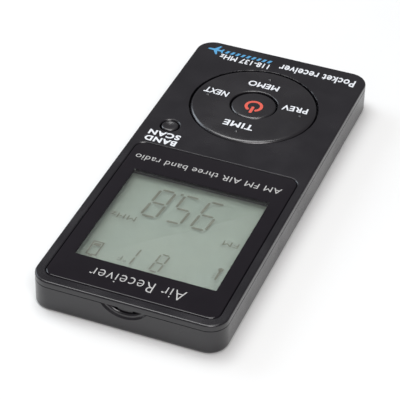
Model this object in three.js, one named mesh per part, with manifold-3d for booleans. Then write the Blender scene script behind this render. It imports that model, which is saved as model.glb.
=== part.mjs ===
// Slim handheld air band receiver. A flat case of two shells holds a square
// display under a glossy lens, a four-way rocker ring round a power button,
// a small band button, two volume keys, and the electronics behind them.
//
// Millimetres. +X is to the right across the face, +Y runs towards the display
// end, +Z points out of the face. The origin is the centre of the back face.

import * as THREE from 'three';
import { mergeVertices } from 'three/addons/utils/BufferGeometryUtils.js';
import Module from 'manifold-3d';

const wasm = await Module();
wasm.setup();

// ---------------------------------------------------------------- dimensions

const WIDTH = 45;
const LENGTH = 104;
const HEIGHT = 8;
const CORNER_R = 4.5;
const WALL = 1.3;
const FLOOR = 1.1;
const FRONT_FILLET = 0.45;
const BACK_FILLET = 0.9;
const SEAM_Z = 6.5;
const SEAM_GAP = 0.15;
const GAP = 0.3;

// The front plate is thicker than its rim is tall, so it hangs into the tray.
const PLATE_UNDER_Z = 6.4;
const TONGUE = { thick: 0.8, z0: 5.6 };

const LENS = { halfX: 20.3, y0: -3.95, y1: 49.4, r: 2.4, z0: 7.2, z1: 7.95 };
const LENS_POCKET = { z: 7.1, chamfer: 0.22 };
const LENS_GAP = 0.12;
const LENS_TAPE_WIDTH = 1.4;

const LCD_VIEW = { halfX: 16.6, y0: 6.75, y1: 39.9 };
const SHELL_WINDOW = { margin: 0.7, r: 0.6 };
const LCD_GLASS = { margin: 1.2, z0: 5.3, z1: 6.2 };
const LCD_FRAME = { margin: 2.4, z0: 4.7, z1: 6.3 };
const LIGHT_GUIDE = { margin: 1.0, y0: 8.4, y1: 38.7, r: 0.4, z0: 4.75, z1: 5.2 };
const BACKLIGHT = { halfX: 12, y0: 38.8, y1: 40.4 };
const CONNECTOR_STRIP = { halfX: 15.5, y0: 6.15, y1: 8.15 };

const BOARD = { z0: 3.9, z1: 4.6, edgeGap: 0.4 };
const RIB = { ys: [-22, 2], halfY: 3, reach: 1.6, topZ: BOARD.z0 - 0.05 };
const TRAVEL = 0.3;

const RING_Y = -28.3;
const RING = {
  holeR: 15.9, outerR: 15.6, innerR: 5.9, topZ: 8.4, edgeFillet: 0.9,
  ceilingZ: 7.2, hubR: 7.0, hubZ: 6.4, wallR: 14.4, flangeR: 16.7,
  flangeZ0: 5.35, flangeZ1: 5.85, nubR: 1.1, nubZ: 5.25, nubAt: 12,
  bumpR: 0.55, bumpRise: 0.15,
};
const COLLAR = { innerR: 7.5, outerR: 9.0, z0: 4.9, z1: 6.8 };
const POWER = { r: 5.6, rimZ: 8.15, crownZ: 8.4, flangeR: 6.5, flangeZ0: 5.4, flangeZ1: 5.9 };
const BAND = {
  x: 15.8, y: -12.7, holeR: 2.4, r: 2.1, rimZ: 7.65, crownZ: 8.05,
  flangeR: 2.9, flangeZ0: 5.5, flangeZ1: 6.05,
};
const DOME = { r: 2, height: 0.3, lip: 0.08 };
const STEM = { r: 1, z: BOARD.z1 + DOME.height + TRAVEL + 0.05 };

const KEY = {
  length: 8.6, height: 2.4, z: 3.3, topX: 22.42, flangeX0: 20.4, flangeX1: 20.9,
  flangeExtra: 0.9, slotGap: 0.25, upY: 27.5, downY: 16.5, stemX: 20.2,
};
const KEY_CHANNEL = { x: 22.0, y0: 9.5, y1: 34.5, z0: 1.65, z1: 4.95 };
const KEY_SWITCH = { x0: 17.3, x1: 19.5, plungerX: 19.88, halfY: 2.2, z0: 2.3, z1: 3.88 };

const JACK = {
  x: -15.7, z: 3.7, width: 6, height: 5, y0: -50.35, y1: -39.7,
  noseR: 2.55, noseY: -51.95, boreR: 1.8, boreEnd: -41, wallHoleR: 2.85,
};
const USB = {
  x: 13, width: 7.5, z0: 1.3, z1: 3.85, y0: -51.7, y1: -46.2,
  skin: 0.3, depth: 4.4, slotGap: 0.35, bevelX: 1, bevelZ: 0.9,
  tongueHalfX: 1.9, tongueHalfZ: 0.3, tongueZ: 2.73, tongueSetBack: 0.8,
};

const SCREW_SPOTS = [[-19, 46], [19, 46], [-19, -36], [19, -36]];
const SCREW = {
  headR: 1.7, headZ0: 0.35, headZ1: 1.15, shankR: 0.7, tipZ: 6.1,
  armLength: 1.05, armHalf: 0.22, armDepth: 0.5,
};
const BOSS = { backR: 2.1, backZ: 4.8, frontR: 1.9, frontZ: 4.9, holeR: 1.0, recessR: 2.0, recessZ: 1.2 };

const LANYARD = {
  centreZ: 10.38, scoopR: 6.75, landR: 6.35, scoopDepth: 0.4, lipR: 5.9, lipDepth: 0.3,
  pocketR: 5.6, pocketDepth: 2.5, postHalfX: 1.75, postZ: 5.85, postSetBack: 1.0,
  blockHalfX: 6, blockDepth: 3.4,
};

const BATTERY = { halfX: 17, y0: -9, y1: 38.5, z0: 1.15, z1: 3.6, edgeR: 1 };
const FERRITE = { halfX: 16.2, y: 44.6, width: 5, z0: 1.45, z1: 3.45 };
const COIL = { halfX: 7, wall: 0.25, gap: 0.05 };

const ROUND_STEPS = 32;
const SMALL_ROUND_STEPS = 16;
const RING_STEPS = 64;
const LANYARD_STEPS = 48;
const FILLET_STEPS = 4;
const CASE_CORNER_STEPS = 5;
const LENS_CORNER_STEPS = 4;
const CORNER_STEPS = 2;
const OVERSHOOT = 1;

// ------------------------------------------------------------------ finishes

const finish = (color, roughness, metalness = 0) =>
  new THREE.MeshStandardMaterial({ color, roughness, metalness });

const MATERIALS = {
  shell: finish(0x2a2a2d, 0.5),
  lens: finish(0x121214, 0.06),
  tape: finish(0x18181a, 0.8),
  lcd: finish(0x9fac9f, 0.25),
  whitePlastic: finish(0xe4e4de, 0.5),
  greyPlastic: finish(0x55585c, 0.55),
  key: finish(0x2c2c2f, 0.45),
  rubber: finish(0x3a3a3c, 0.85),
  board: finish(0x1d5a36, 0.45),
  chip: finish(0x17181a, 0.5),
  tin: finish(0xc2c4c6, 0.35, 0.9),
  steel: finish(0x8d9094, 0.35, 0.95),
  copper: finish(0xb26a35, 0.35, 0.9),
  ferrite: finish(0x35363a, 0.6),
  cell: finish(0xb9bec4, 0.4, 0.6),
  led: finish(0xf2efd8, 0.3),
};

// ------------------------------------------------------------- solid helpers

// A closed geometry becomes a solid, with its outside facing out.
function solid(geometry) {
  const bare = geometry.clone();
  bare.deleteAttribute('normal');
  bare.deleteAttribute('uv');
  const merged = mergeVertices(bare, 1e-4);
  const from = merged.index.array;
  const kept = [];
  for (let i = 0; i < from.length; i += 3) {
    const [a, b, c] = [from[i], from[i + 1], from[i + 2]];
    if (a !== b && b !== c && c !== a) kept.push(a, b, c);
  }
  const build = (triangles) => new wasm.Manifold(new wasm.Mesh({
    numProp: 3,
    vertProperties: new Float32Array(merged.attributes.position.array),
    triVerts: new Uint32Array(triangles),
  }));
  const made = build(kept);
  return made.volume() > 0 ? made : build(kept.reverse());
}

const rounded = (x0, x1, y0, y1, r) => {
  const shape = new THREE.Shape();
  shape.moveTo(x0 + r, y0);
  shape.lineTo(x1 - r, y0);
  shape.absarc(x1 - r, y0 + r, r, -Math.PI / 2, 0);
  shape.lineTo(x1, y1 - r);
  shape.absarc(x1 - r, y1 - r, r, 0, Math.PI / 2);
  shape.lineTo(x0 + r, y1);
  shape.absarc(x0 + r, y1 - r, r, Math.PI / 2, Math.PI);
  shape.lineTo(x0, y0 + r);
  shape.absarc(x0 + r, y0 + r, r, Math.PI, 1.5 * Math.PI);
  return shape;
};

// A flat outline raised from z0 to z1.
const slab = (shape, z0, z1, cornerSteps = CORNER_STEPS) => solid(
  new THREE.ExtrudeGeometry(shape, { depth: z1 - z0, bevelEnabled: false, curveSegments: cornerSteps })
    .translate(0, 0, z0));

// The same outline with both of its rims rounded to the fillet radius.
const filletedSlab = (shape, z0, z1, fillet, cornerSteps, filletSteps) => solid(
  new THREE.ExtrudeGeometry(shape, {
    depth: z1 - z0 - 2 * fillet,
    bevelEnabled: true,
    bevelThickness: fillet,
    bevelSize: fillet,
    bevelOffset: -fillet,
    bevelSegments: filletSteps,
    curveSegments: cornerSteps,
  }).translate(0, 0, z0 + fillet));

const box = (x0, x1, y0, y1, z0, z1) => solid(
  new THREE.BoxGeometry(x1 - x0, y1 - y0, z1 - z0)
    .translate((x0 + x1) / 2, (y0 + y1) / 2, (z0 + z1) / 2));

// A round rod along Z, or along Y when turned.
const rodZ = (x, y, r, z0, z1, steps = ROUND_STEPS) => solid(
  new THREE.CylinderGeometry(r, r, z1 - z0, steps).rotateX(Math.PI / 2).translate(x, y, (z0 + z1) / 2));

const smallRodZ = (x, y, r, z0, z1) => rodZ(x, y, r, z0, z1, SMALL_ROUND_STEPS);

const rodY = (x, z, r, y0, y1, steps = ROUND_STEPS) => solid(
  new THREE.CylinderGeometry(r, r, y1 - y0, steps).translate(x, (y0 + y1) / 2, z));

// A profile of [radius, height] points turned round a vertical axis.
const turned = (profile, x, y, steps = ROUND_STEPS) => solid(
  new THREE.LatheGeometry(profile.map(([r, z]) => new THREE.Vector2(r, z)), steps)
    .rotateX(Math.PI / 2).translate(x, y, 0));

// Points of a quarter circle about [r, z], from one angle to the other.
function arcPoints(r, z, radius, from, to, steps) {
  const points = [];
  for (let i = 0; i <= steps; i += 1) {
    const angle = THREE.MathUtils.degToRad(from + ((to - from) * i) / steps);
    points.push([r + radius * Math.cos(angle), z + radius * Math.sin(angle)]);
  }
  return points;
}

// A chamfer cone that opens a round hole's rim at the top face.
const rimCone = (x, y, r, topZ, size) => turned(
  [[0, topZ - size], [r, topZ - size], [r + 2 * size, topZ + size], [0, topZ + size]], x, y);

const object = new THREE.Group();

function addPart(name, made, material) {
  const mesh = made.getMesh();
  const geometry = new THREE.BufferGeometry();
  geometry.setAttribute('position', new THREE.BufferAttribute(new Float32Array(mesh.vertProperties), 3));
  geometry.setIndex(new THREE.BufferAttribute(new Uint32Array(mesh.triVerts), 1));
  geometry.computeVertexNormals();
  const part = new THREE.Mesh(geometry, material);
  part.name = name;
  object.add(part);
}

// --------------------------------------------------------------- case shells

const HALF_W = WIDTH / 2;
const HALF_L = LENGTH / 2;
const CASE_OUTLINE = rounded(-HALF_W, HALF_W, -HALF_L, HALF_L, CORNER_R);

const insideOutline = (inset) => rounded(
  -HALF_W + inset, HALF_W - inset, -HALF_L + inset, HALF_L - inset, Math.max(CORNER_R - inset, 0.8));

const lensOutline = (grow) => rounded(
  -LENS.halfX - grow, LENS.halfX + grow, LENS.y0 - grow, LENS.y1 + grow, LENS.r + grow);

const displayOutline = (grow, r) => rounded(
  -LCD_VIEW.halfX - grow, LCD_VIEW.halfX + grow, LCD_VIEW.y0 - grow, LCD_VIEW.y1 + grow, r);

// The lens pocket, with a chamfer round its mouth.
function lensPocket() {
  const sliver = 0.01;
  const mouth = slab(lensOutline(LENS_GAP), HEIGHT - LENS_POCKET.chamfer, HEIGHT, LENS_CORNER_STEPS)
    .add(slab(lensOutline(LENS_GAP + LENS_POCKET.chamfer), HEIGHT, HEIGHT + sliver, LENS_CORNER_STEPS))
    .hull();
  return mouth.add(slab(lensOutline(LENS_GAP), LENS_POCKET.z, HEIGHT, LENS_CORNER_STEPS));
}

function frontShell() {
  const whole = filletedSlab(CASE_OUTLINE, 0, HEIGHT, FRONT_FILLET, CASE_CORNER_STEPS, FILLET_STEPS);
  const rim = whole.intersect(box(-HALF_W, HALF_W, -HALF_L, HALF_L, SEAM_Z, HEIGHT));
  const plateInset = WALL + GAP;
  const plate = slab(insideOutline(plateInset), PLATE_UNDER_Z, SEAM_Z + 0.2);
  const tongue = slab(insideOutline(plateInset), TONGUE.z0, PLATE_UNDER_Z + 0.2)
    .subtract(slab(insideOutline(plateInset + TONGUE.thick), TONGUE.z0 - OVERSHOOT, PLATE_UNDER_Z))
    .subtract(box(-LANYARD.blockHalfX - GAP, LANYARD.blockHalfX + GAP,
      HALF_L - LANYARD.blockDepth - GAP, HALF_L, 0, PLATE_UNDER_Z))
    .subtract(box(JACK.x - JACK.width / 2 - GAP, JACK.x + JACK.width / 2 + GAP,
      -HALF_L, JACK.y1, 0, PLATE_UNDER_Z));
  let shell = rim.add(plate).add(tongue);
  for (const [x, y] of SCREW_SPOTS) {
    shell = shell
      .add(smallRodZ(x, y, BOSS.frontR, BOSS.frontZ, PLATE_UNDER_Z + 0.1))
      .subtract(smallRodZ(x, y, BOSS.holeR, BOSS.frontZ - OVERSHOOT, PLATE_UNDER_Z));
  }
  return shell
    .subtract(lensPocket())
    .subtract(slab(displayOutline(SHELL_WINDOW.margin, SHELL_WINDOW.r), PLATE_UNDER_Z - OVERSHOOT, HEIGHT))
    .subtract(rodZ(0, RING_Y, RING.holeR, TONGUE.z0, HEIGHT + OVERSHOOT, RING_STEPS))
    .subtract(rimCone(0, RING_Y, RING.holeR, HEIGHT, 0.12))
    .subtract(rodZ(BAND.x, BAND.y, BAND.holeR, TONGUE.z0, HEIGHT + OVERSHOOT))
    .subtract(rimCone(BAND.x, BAND.y, BAND.holeR, HEIGHT, 0.25));
}

// A shallow crescent scoop at the top of the end wall, and inside it the strap
// pocket with a bevelled lip.
function lanyardCut() {
  const keepBelowLid = box(-HALF_W, HALF_W, 0, HALF_L + OVERSHOOT, 0, SEAM_Z + OVERSHOOT);
  const funnel = (outerR, innerR, outerY, depth) => solid(
    new THREE.CylinderGeometry(outerR, innerR, depth, LANYARD_STEPS)
      .translate(0, outerY - depth / 2, LANYARD.centreZ));
  const scoop = funnel(LANYARD.scoopR, LANYARD.landR, HALF_L, LANYARD.scoopDepth)
    .add(funnel(LANYARD.lipR, LANYARD.pocketR, HALF_L - LANYARD.scoopDepth, LANYARD.lipDepth));
  const pocket = rodY(0, LANYARD.centreZ, LANYARD.pocketR,
    HALF_L - LANYARD.pocketDepth, HALF_L, LANYARD_STEPS);
  const strapPost = box(-LANYARD.postHalfX, LANYARD.postHalfX,
    HALF_L - LANYARD.pocketDepth - OVERSHOOT, HALF_L - LANYARD.postSetBack, 0, LANYARD.postZ);
  return scoop.add(pocket.subtract(strapPost)).intersect(keepBelowLid);
}

function backShell() {
  const whole = filletedSlab(CASE_OUTLINE, 0, HEIGHT + 2, BACK_FILLET, CASE_CORNER_STEPS, FILLET_STEPS);
  const trayTop = SEAM_Z - SEAM_GAP;
  let shell = whole
    .intersect(box(-HALF_W, HALF_W, -HALF_L, HALF_L, 0, trayTop))
    .subtract(slab(insideOutline(WALL), FLOOR, HEIGHT));
  shell = shell.add(box(-LANYARD.blockHalfX, LANYARD.blockHalfX,
    HALF_L - LANYARD.blockDepth, HALF_L - WALL / 2, FLOOR / 2, trayTop));
  for (const side of [-1, 1]) {
    for (const y of RIB.ys) {
      const [x0, x1] = [side * (HALF_W - WALL / 2), side * (HALF_W - WALL - RIB.reach)].sort((a, b) => a - b);
      shell = shell.add(box(x0, x1, y - RIB.halfY, y + RIB.halfY, FLOOR / 2, RIB.topZ));
    }
  }
  for (const [x, y] of SCREW_SPOTS) {
    shell = shell
      .add(smallRodZ(x, y, BOSS.backR, FLOOR / 2, BOSS.backZ))
      .subtract(rodZ(x, y, BOSS.recessR, -OVERSHOOT, BOSS.recessZ, 24))
      .subtract(smallRodZ(x, y, BOSS.holeR, 0, BOSS.backZ + OVERSHOOT));
  }
  const channel = solid(new THREE.ExtrudeGeometry(
    rounded(KEY_CHANNEL.y0, KEY_CHANNEL.y1, KEY_CHANNEL.z0, KEY_CHANNEL.z1, 1.2),
    { depth: 2, bevelEnabled: false, curveSegments: CORNER_STEPS })
    .rotateX(Math.PI / 2).rotateZ(Math.PI / 2).translate(KEY_CHANNEL.x, 0, 0));
  shell = shell.subtract(channel);
  for (const y of [KEY.upY, KEY.downY]) {
    const [half, tall] = [KEY.length / 2 + KEY.slotGap, KEY.height / 2 + KEY.slotGap];
    shell = shell.subtract(keyPrism(y, half, tall, HALF_W - WALL - OVERSHOOT, HALF_W));
  }
  const usbHalf = USB.width / 2 + USB.slotGap;
  return shell
    .subtract(lanyardCut())
    .subtract(rodY(JACK.x, JACK.z, JACK.wallHoleR, -HALF_L - OVERSHOOT, -HALF_L + WALL + 0.1))
    .subtract(box(USB.x - usbHalf, USB.x + usbHalf, -HALF_L - OVERSHOOT, -HALF_L + WALL + 0.1,
      USB.z0 - USB.slotGap / 2, USB.z1 + USB.slotGap / 2));
}

// A rod of rounded-bar section that runs along X through the side wall.
function keyPrism(y, halfLength, halfHeight, x0, x1) {
  const section = rounded(y - halfLength, y + halfLength, KEY.z - halfHeight, KEY.z + halfHeight,
    halfHeight * 0.9);
  return solid(new THREE.ExtrudeGeometry(section,
    { depth: x1 - x0, bevelEnabled: false, curveSegments: CORNER_STEPS })
    .rotateX(Math.PI / 2).rotateZ(Math.PI / 2).translate(x0, 0, 0));
}

addPart('front_shell', frontShell(), MATERIALS.shell);
addPart('back_shell', backShell(), MATERIALS.shell);

// ------------------------------------------------------------ display stack

addPart('display_lens', slab(lensOutline(0), LENS.z0, LENS.z1, LENS_CORNER_STEPS), MATERIALS.lens);
addPart('lens_adhesive', slab(lensOutline(-0.3), LENS_POCKET.z + 0.01, LENS.z0 - 0.01)
  .subtract(slab(lensOutline(-0.3 - LENS_TAPE_WIDTH), LENS_POCKET.z - OVERSHOOT, LENS.z0 + OVERSHOOT)),
MATERIALS.tape);
addPart('lcd_glass', slab(displayOutline(LCD_GLASS.margin, 0.4), LCD_GLASS.z0, LCD_GLASS.z1),
  MATERIALS.lcd);
addPart('lcd_frame', slab(displayOutline(LCD_FRAME.margin, 0.8), LCD_FRAME.z0, LCD_FRAME.z1)
  .subtract(slab(displayOutline(LCD_GLASS.margin + 0.05, 0.45), LCD_FRAME.z0 - OVERSHOOT, HEIGHT)),
MATERIALS.greyPlastic);
addPart('light_guide', slab(rounded(
  -LCD_VIEW.halfX - LIGHT_GUIDE.margin, LCD_VIEW.halfX + LIGHT_GUIDE.margin,
  LIGHT_GUIDE.y0, LIGHT_GUIDE.y1, LIGHT_GUIDE.r), LIGHT_GUIDE.z0, LIGHT_GUIDE.z1), MATERIALS.whitePlastic);
addPart('backlight_leds', box(-BACKLIGHT.halfX, BACKLIGHT.halfX, BACKLIGHT.y0, BACKLIGHT.y1,
  LIGHT_GUIDE.z0, LIGHT_GUIDE.z1), MATERIALS.led);
addPart('lcd_connector_strip', box(-CONNECTOR_STRIP.halfX, CONNECTOR_STRIP.halfX,
  CONNECTOR_STRIP.y0, CONNECTOR_STRIP.y1, LIGHT_GUIDE.z0, LIGHT_GUIDE.z1), MATERIALS.rubber);

// ------------------------------------------------------- board and its parts

function mainBoard() {
  let board = slab(insideOutline(WALL + BOARD.edgeGap), BOARD.z0, BOARD.z1);
  const [low, high] = [BOARD.z0 - OVERSHOOT, BOARD.z1 + OVERSHOOT];
  for (const [x, y] of SCREW_SPOTS) {
    const edgeX = Math.sign(x) * HALF_W;
    const [x0, x1] = [Math.min(x, edgeX), Math.max(x, edgeX)];
    const r = BOSS.backR + GAP;
    board = board.subtract(rodZ(x, y, r, low, high)).subtract(box(x0, x1, y - r, y + r, low, high));
  }
  return board
    .subtract(box(-LANYARD.blockHalfX - GAP, LANYARD.blockHalfX + GAP,
      HALF_L - LANYARD.blockDepth - GAP, HALF_L, low, high))
    .subtract(box(JACK.x - JACK.width / 2 - GAP, JACK.x + JACK.width / 2 + GAP,
      -HALF_L, JACK.y1 + GAP, low, high))
    .subtract(box(KEY_SWITCH.plungerX, HALF_W, KEY_CHANNEL.y0, KEY_CHANNEL.y1, low, high));
}

addPart('main_board', mainBoard(), MATERIALS.board);

// Snap-dome switch: a shallow metal dome on the board.
function domeSwitch(x, y) {
  const base = BOARD.z1 + 0.01;
  const profile = [[0, base], [DOME.r, base], [DOME.r, base + DOME.lip]];
  for (const turn of [30, 60, 90]) {
    const angle = THREE.MathUtils.degToRad(turn);
    const rise = (DOME.height - DOME.lip) * Math.sin(angle);
    profile.push([DOME.r * Math.cos(angle), base + DOME.lip + rise]);
  }
  profile[profile.length - 1][0] = 0;
  return turned(profile, x, y, SMALL_ROUND_STEPS);
}

const NAV_KEYS = [
  ['time', 0, RING.nubAt], ['memo', 0, -RING.nubAt],
  ['prev', -RING.nubAt, 0], ['next', RING.nubAt, 0],
];
for (const [name, dx, dy] of NAV_KEYS) {
  addPart(`switch_${name}`, domeSwitch(dx, RING_Y + dy), MATERIALS.steel);
}
addPart('switch_power', domeSwitch(0, RING_Y), MATERIALS.steel);
addPart('switch_band', domeSwitch(BAND.x, BAND.y), MATERIALS.steel);

// Side switch with a short plunger, under the edge of the board.
function sideSwitch(y) {
  return box(KEY_SWITCH.x0, KEY_SWITCH.x1, y - KEY_SWITCH.halfY, y + KEY_SWITCH.halfY,
    KEY_SWITCH.z0, KEY_SWITCH.z1)
    .add(box(KEY_SWITCH.x1 - 0.2, KEY_SWITCH.plungerX, y - 0.8, y + 0.8, KEY.z - 0.4, KEY.z + 0.4));
}
addPart('switch_volume_up', sideSwitch(KEY.upY), MATERIALS.steel);
addPart('switch_volume_down', sideSwitch(KEY.downY), MATERIALS.steel);

// Packages on the underside of the board: name, centre, size, height, finish.
const UNDERSIDE = [
  ['tuner_shield', -1, -22.5, 15, 13, 1.9, 'tin'],
  ['control_chip', 13.2, -24, 7, 7, 1.1, 'chip'],
  ['audio_amplifier', -14.5, -24, 5, 6, 1.3, 'chip'],
  ['clock_crystal', 12.5, -16, 5.5, 2, 1.6, 'tin'],
  ['temperature_sensor', 6, -40, 1.8, 1.2, 0.7, 'chip'],
  ['charge_controller', 12, -40.5, 3, 3, 1, 'chip'],
];
for (const [name, x, y, sx, sy, height, look] of UNDERSIDE) {
  const top = BOARD.z0 - 0.01;
  addPart(name, slab(rounded(x - sx / 2, x + sx / 2, y - sy / 2, y + sy / 2, 0.3), top - height, top),
    MATERIALS[look]);
}

addPart('battery_pack', filletedSlab(
  rounded(-BATTERY.halfX, BATTERY.halfX, BATTERY.y0, BATTERY.y1, 2), BATTERY.z0, BATTERY.z1, BATTERY.edgeR,
  CORNER_STEPS, 2), MATERIALS.cell);

const ferriteBox = (grow, halfX) => box(-halfX, halfX,
  FERRITE.y - FERRITE.width / 2 - grow, FERRITE.y + FERRITE.width / 2 + grow,
  FERRITE.z0 - grow, FERRITE.z1 + grow);
addPart('ferrite_bar', ferriteBox(0, FERRITE.halfX), MATERIALS.ferrite);
addPart('aerial_coil', ferriteBox(COIL.gap + COIL.wall, COIL.halfX)
  .subtract(ferriteBox(COIL.gap, COIL.halfX + OVERSHOOT)), MATERIALS.copper);

// ------------------------------------------------------------------- sockets

function earphoneJack() {
  const body = box(JACK.x - JACK.width / 2, JACK.x + JACK.width / 2, JACK.y0, JACK.y1,
    JACK.z - JACK.height / 2, JACK.z + JACK.height / 2);
  return body
    .add(rodY(JACK.x, JACK.z, JACK.noseR, JACK.noseY, JACK.y0 + 0.5))
    .subtract(rodY(JACK.x, JACK.z, JACK.boreR, -HALF_L, JACK.boreEnd));
}
addPart('earphone_jack', earphoneJack(), MATERIALS.chip);

// Five-pin charging socket: a tin tunnel with bevelled lower corners and a
// contact tongue.
function usbSocket() {
  const section = (grow) => {
    const half = USB.width / 2 - USB.skin + grow;
    const [low, high] = [USB.z0 + USB.skin - grow, USB.z1 - USB.skin + grow];
    const shape = new THREE.Shape();
    shape.moveTo(-half + USB.bevelX, low);
    shape.lineTo(half - USB.bevelX, low);
    shape.lineTo(half, low + USB.bevelZ);
    shape.lineTo(half, high);
    shape.lineTo(-half, high);
    shape.lineTo(-half, low + USB.bevelZ);
    return shape;
  };
  const tunnel = (grow, y0, y1) => solid(
    new THREE.ExtrudeGeometry(section(grow), { depth: y1 - y0, bevelEnabled: false })
      .rotateX(Math.PI / 2).translate(USB.x, y1, 0));
  return tunnel(USB.skin, USB.y0, USB.y1)
    .subtract(tunnel(0, USB.y0 - OVERSHOOT, USB.y0 + USB.depth))
    .add(box(USB.x - USB.tongueHalfX, USB.x + USB.tongueHalfX,
      USB.y0 + USB.tongueSetBack, USB.y0 + USB.depth + USB.skin,
      USB.tongueZ - USB.tongueHalfZ, USB.tongueZ + USB.tongueHalfZ));
}
addPart('micro_usb_socket', usbSocket(), MATERIALS.tin);

// ------------------------------------------------------------------ controls

// Four-way ring: a shallow dish turned upside down, with a retaining flange
// under the shell, four nubs over the switches and four touch bumps on top.
function navRing() {
  const edge = RING.edgeFillet;
  const profile = [
    [RING.innerR, RING.hubZ],
    [RING.innerR, RING.topZ - 0.2],
    [RING.innerR + 0.2, RING.topZ],
    ...arcPoints(RING.outerR - edge, RING.topZ - edge, edge, 90, 0, FILLET_STEPS),
    [RING.outerR, RING.flangeZ1],
    [RING.flangeR, RING.flangeZ1],
    [RING.flangeR, RING.flangeZ0],
    [RING.wallR, RING.flangeZ0],
    [RING.wallR, RING.ceilingZ],
    [RING.hubR, RING.ceilingZ],
    [RING.hubR, RING.hubZ],
    [RING.innerR, RING.hubZ],
  ];
  let ring = turned(profile, 0, RING_Y, RING_STEPS);
  for (const [, dx, dy] of NAV_KEYS) {
    const bump = solid(new THREE.SphereGeometry(RING.bumpR, 12, 8)
      .translate(dx, RING_Y + dy, RING.topZ - RING.bumpR + RING.bumpRise));
    ring = ring
      .add(rodZ(dx, RING_Y + dy, RING.nubR, RING.nubZ, RING.ceilingZ + 0.2, 12))
      .add(bump);
  }
  return ring;
}
addPart('nav_ring', navRing(), MATERIALS.key);

// Soft collar that carries the ring and lets it rock.
addPart('ring_pivot_collar', turned([
  [COLLAR.innerR, COLLAR.z0], [COLLAR.outerR, COLLAR.z0], [COLLAR.outerR, COLLAR.z1 - 0.4],
  [COLLAR.outerR - 0.4, COLLAR.z1], [COLLAR.innerR, COLLAR.z1], [COLLAR.innerR, COLLAR.z0],
], 0, RING_Y), MATERIALS.rubber);

// A turned push button: stem, retaining flange, barrel and crowned top.
function pushButton(spec, x, y, steps) {
  const rise = spec.crownZ - spec.rimZ;
  const profile = [
    [0, STEM.z], [STEM.r, STEM.z], [STEM.r, spec.flangeZ0], [spec.flangeR, spec.flangeZ0],
    [spec.flangeR, spec.flangeZ1], [spec.r, spec.flangeZ1], [spec.r, spec.rimZ - 0.25],
  ];
  const crownSteps = 4;
  for (let i = 0; i <= crownSteps; i += 1) {
    const angle = (Math.PI / 2) * (i / crownSteps);
    profile.push([(spec.r - 0.2) * Math.cos(angle), spec.rimZ + rise * Math.sin(angle)]);
  }
  profile[profile.length - 1][0] = 0;
  return turned(profile, x, y, steps);
}
addPart('power_button', pushButton(POWER, 0, RING_Y, ROUND_STEPS), MATERIALS.key);
addPart('band_button', pushButton(BAND, BAND.x, BAND.y, 24), MATERIALS.key);

function volumeKey(y) {
  const half = KEY.length / 2;
  const tall = KEY.height / 2;
  return keyPrism(y, half, tall, KEY.flangeX1 - 0.2, KEY.topX)
    .add(box(KEY.flangeX0, KEY.flangeX1, y - half - 0.7, y + half + 0.7,
      KEY.z - tall - KEY.flangeExtra / 2, KEY.z + tall + KEY.flangeExtra / 2))
    .add(box(KEY.stemX, KEY.flangeX0 + 0.2, y - 0.7, y + 0.7, KEY.z - 0.35, KEY.z + 0.35));
}
addPart('volume_up_key', volumeKey(KEY.upY), MATERIALS.key);
addPart('volume_down_key', volumeKey(KEY.downY), MATERIALS.key);

// -------------------------------------------------------------------- screws

function caseScrew(x, y) {
  const { headR, headZ0, headZ1, shankR, tipZ, armLength, armHalf, armDepth } = SCREW;
  const [low, high] = [headZ0 - OVERSHOOT, headZ0 + armDepth];
  return turned([
    [0, headZ0], [headR, headZ0], [headR, headZ0 + 0.25], [headR - 0.15, headZ1],
    [shankR, headZ1], [shankR, tipZ - 0.5], [0.2, tipZ], [0, tipZ],
  ], x, y, SMALL_ROUND_STEPS)
    .subtract(box(x - armLength, x + armLength, y - armHalf, y + armHalf, low, high))
    .subtract(box(x - armHalf, x + armHalf, y - armLength, y + armLength, low, high));
}
SCREW_SPOTS.forEach(([x, y], index) => {
  addPart(`case_screw_${index + 1}`, caseScrew(x, y), MATERIALS.steel);
});

export default object;
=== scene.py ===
"""Looks for a slim handheld air band receiver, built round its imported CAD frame.

Everything is in metres in the CAD frame: +X right across the face, +Y towards the
display end, +Z out of the face, with the back of the case on z = 0.
"""

import math

import bmesh
import bpy
from mathutils import Matrix, Vector


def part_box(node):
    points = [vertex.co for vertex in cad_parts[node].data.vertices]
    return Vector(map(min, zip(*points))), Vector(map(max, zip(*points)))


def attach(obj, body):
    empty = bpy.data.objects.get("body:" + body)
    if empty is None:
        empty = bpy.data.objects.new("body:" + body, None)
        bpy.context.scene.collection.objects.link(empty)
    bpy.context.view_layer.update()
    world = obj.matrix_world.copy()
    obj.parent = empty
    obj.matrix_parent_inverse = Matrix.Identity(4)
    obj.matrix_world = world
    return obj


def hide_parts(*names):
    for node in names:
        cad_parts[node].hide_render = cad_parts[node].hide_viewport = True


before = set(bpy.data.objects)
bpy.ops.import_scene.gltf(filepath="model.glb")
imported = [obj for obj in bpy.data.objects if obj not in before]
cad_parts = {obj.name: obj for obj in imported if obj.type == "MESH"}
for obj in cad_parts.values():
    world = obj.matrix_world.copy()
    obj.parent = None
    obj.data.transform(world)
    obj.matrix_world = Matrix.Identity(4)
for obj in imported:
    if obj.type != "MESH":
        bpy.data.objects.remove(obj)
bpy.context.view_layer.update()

MM = 0.001
MERGE_DISTANCE = 1e-7
SHARP_DEGREES = 32

# ------------------------------------------------------------ camera and studio

CAMERA_AIM = Vector((0.1, 7.1, 4.0)) * MM
CAMERA_DISTANCE = 427.5 * MM
CAMERA_AZIMUTH = 200.6
CAMERA_ELEVATION = 37.5
CAMERA_ROLL = 1.5
CAMERA_LENS_MM = 165.8
SENSOR_MM = 36.0

SKY_COLOUR = (0.995, 0.972, 1.0)
SKY_STRENGTH = 0.22
FLOOR_HALF = 3.0
WHITE_LIGHT = (1.0, 1.0, 1.0)
WINDOW_LIGHT = (0.82, 0.91, 1.0)
WARM_LIGHT = (1.0, 0.97, 0.98)
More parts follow.
